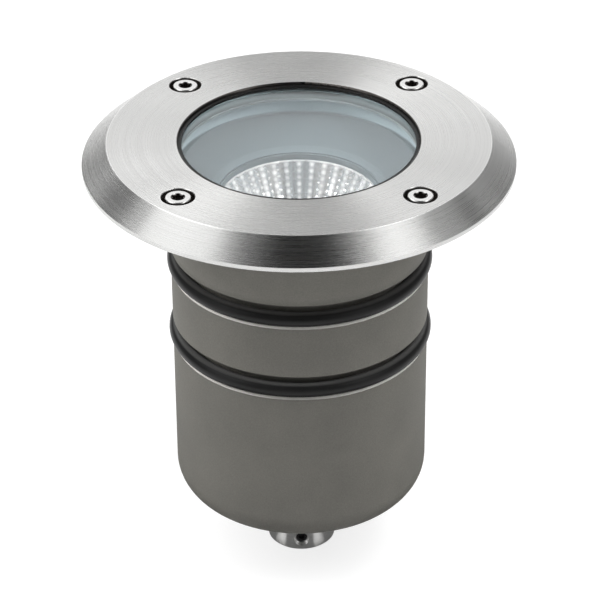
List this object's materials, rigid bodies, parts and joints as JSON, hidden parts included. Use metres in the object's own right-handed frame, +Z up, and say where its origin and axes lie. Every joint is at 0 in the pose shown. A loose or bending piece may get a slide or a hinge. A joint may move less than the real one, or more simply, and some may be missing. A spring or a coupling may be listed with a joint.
{
  "type": "in ground well light",
  "caption": "Recessed ground light: brushed steel cover ring and thick glass over a grey dish and faceted reflector, in a domed cylindrical housing with rubber sealing rings and a cable gland.",
  "frame": {"origin": "on the light's axis, in the plane of the cover ring's underside, which rests on the paving", "axes": "+Z up along the light's axis, out of the ground; +X and +Y level, with a cover screw between each pair of axes; the gland's side screw faces -Y"},
  "size_m": [0.12, 0.12, 0.1333],
  "materials": {
    "brushed_ring": "concentric brushed stainless steel",
    "screw_steel": "bright stainless steel",
    "clear_glass": "clear toughened glass with a slight blue tint",
    "black_rubber": "matt black rubber",
    "grey_silicone": "matt grey silicone",
    "grey_paint": "matt warm grey powder coat",
    "dish_grey": "satin grey",
    "bright_mirror": "polished, faceted",
    "white_plastic": "moulded",
    "board_white": "white solder mask",
    "phosphor": "yellow silicone",
    "pad_grey": "soft grey pad",
    "plain_aluminium": "machined",
    "dark_plastic": "moulded",
    "red_lead": "insulation",
    "brown_lead": "insulation",
    "gland_metal": "nickel plated and turned",
    "black_steel": "black oxide"
  },
  "bodies": {
    "root": {"bezel_ring": "brushed_ring", "bezel_screws": "screw_steel", "glass_lens": "clear_glass", "glass_seal": "black_rubber", "glass_seat": "grey_silicone", "housing_body": "grey_paint", "upper_seal_ring": "black_rubber", "lower_seal_ring": "black_rubber", "baffle_dish": "dish_grey", "reflector_ring": "dish_grey", "reflector": "bright_mirror", "led_holder": "white_plastic", "holder_screws": "screw_steel", "led_board": "board_white", "led_emitter": "phosphor", "thermal_pad": "pad_grey", "heat_sink": "plain_aluminium", "heat_sink_screws": "screw_steel", "driver_case": "dark_plastic", "driver_bracket": "plain_aluminium", "bracket_screws": "screw_steel", "terminal_block": "white_plastic", "terminal_screws": "screw_steel", "output_leads": "red_lead", "input_leads": "brown_lead", "gland_body": "gland_metal", "gland_seal": "black_rubber", "gland_bush": "black_rubber", "gland_washer": "screw_steel", "gland_set_screw": "black_steel", "gland_nut": "gland_metal", "gland_nut_washer": "screw_steel"}
  },
  "joints": []
}
